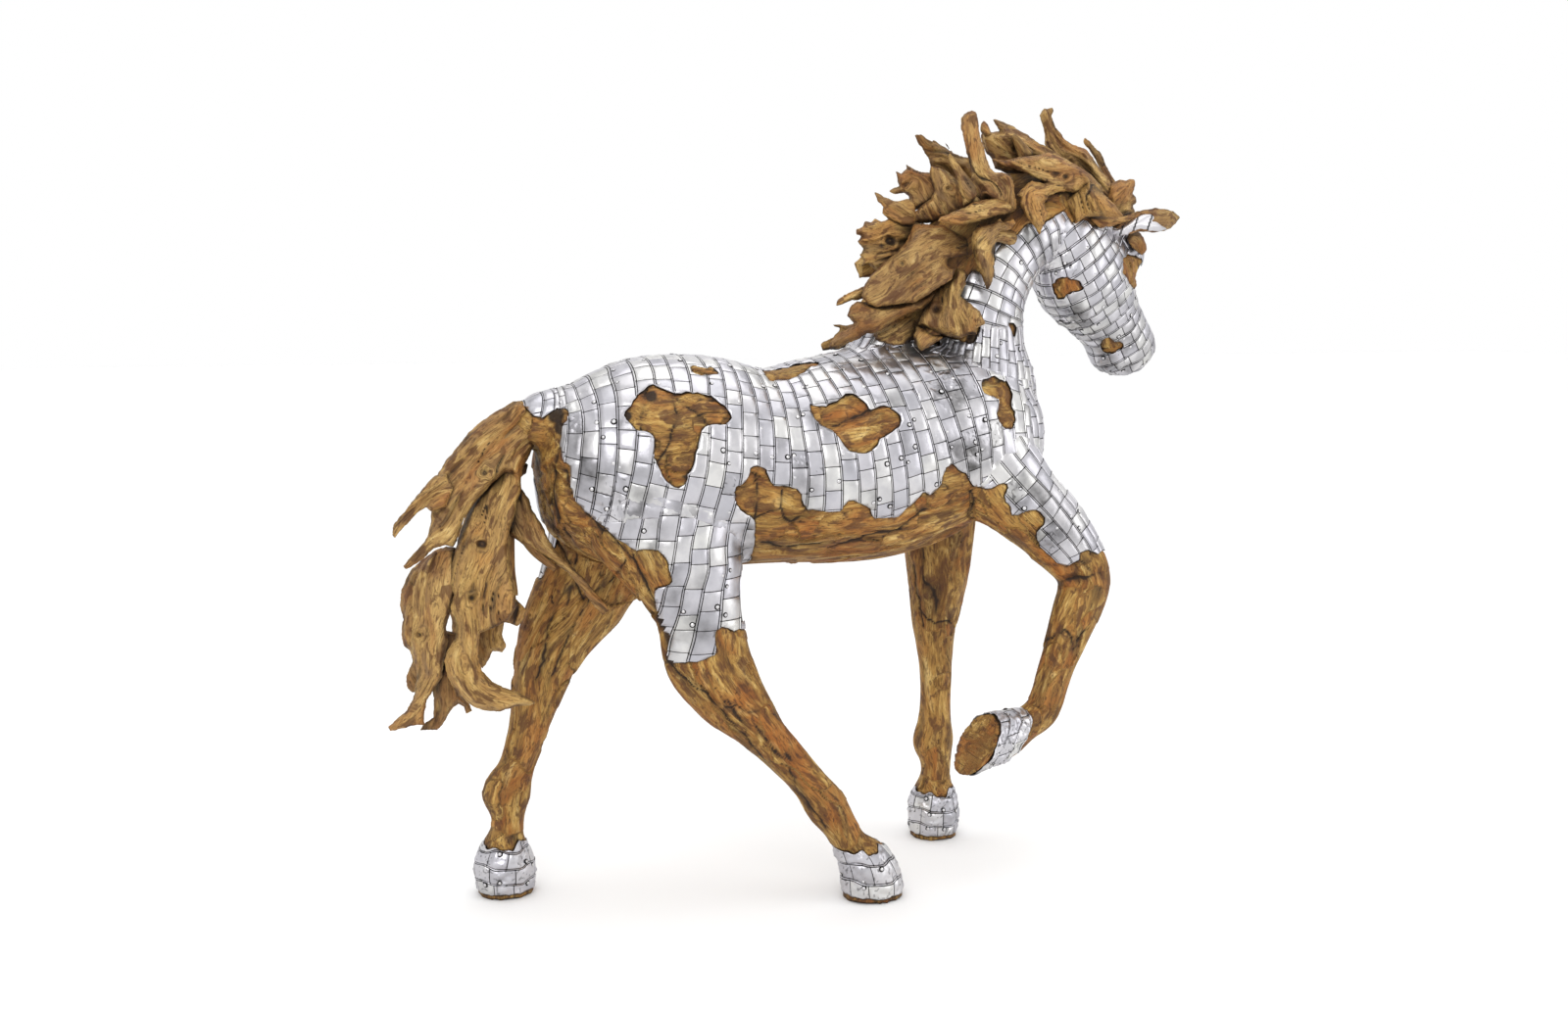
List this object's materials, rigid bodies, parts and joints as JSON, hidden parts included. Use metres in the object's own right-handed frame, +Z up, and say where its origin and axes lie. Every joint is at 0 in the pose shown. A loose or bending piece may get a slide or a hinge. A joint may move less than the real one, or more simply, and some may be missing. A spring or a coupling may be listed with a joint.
{
  "type": "root wood horse sculpture clad in metal plate",
  "caption": "Life-size walking horse of golden root wood with one foreleg raised, its body covered in nailed thin metal plates, with a wild mane and tail of separate roots.",
  "frame": {"origin": "on the floor, under the centre of the bounding box", "axes": "+X the way the horse faces, +Y its left side, +Z up"},
  "size_m": [2.3251, 0.5725, 2.1351],
  "materials": {
    "carved_wood": "sanded and oiled, golden brown with dark cracks",
    "root_wood": "rough root grain with dark hollows and orange patches",
    "metal_plate": "satin hammered sheet with dark seams"
  },
  "bodies": {
    "root": {"body_plate": "metal_plate", "brow_knot": "root_wood", "far_ear": "carved_wood", "far_fore_hoof_plate": "metal_plate", "far_hind_hoof_plate": "metal_plate", "mane_bottom_burl": "root_wood", "mane_bottom_chip": "root_wood", "mane_crown": "root_wood", "mane_crown_spike": "root_wood", "mane_far_back": "root_wood", "mane_far_burl": "root_wood", "mane_far_crown": "root_wood", "mane_far_middle": "root_wood", "mane_far_plank": "root_wood", "mane_far_root": "root_wood", "mane_far_spike": "root_wood", "mane_forelock": "root_wood", "mane_hook": "root_wood", "mane_hooked_piece": "root_wood", "mane_horn": "root_wood", "mane_knot_plank": "root_wood", "mane_left_burl": "root_wood", "mane_left_spike": "root_wood", "mane_long_plank": "root_wood", "mane_lower_root": "root_wood", "mane_orange_root": "root_wood", "mane_right_chunk": "root_wood", "mane_right_spike": "root_wood", "mane_sweep": "root_wood", "mane_tall_horn": "root_wood", "mane_tall_stump": "root_wood", "mane_thin_spike": "root_wood", "mane_triangle": "root_wood", "mane_upper_burl": "root_wood", "mane_upper_spike": "root_wood", "mane_wedge": "root_wood", "near_ear": "carved_wood", "near_ear_plate": "metal_plate", "near_fore_hoof_plate": "metal_plate", "near_hind_hoof_plate": "metal_plate", "tail_branch": "root_wood", "tail_far_lock": "root_wood", "tail_front_lock": "root_wood", "tail_lower_tip": "root_wood", "tail_middle_lock": "root_wood", "tail_rear_lock": "root_wood", "tail_right_lock": "root_wood", "tail_root": "root_wood", "tail_upper_spike": "root_wood", "wooden_body": "carved_wood"}
  },
  "joints": []
}
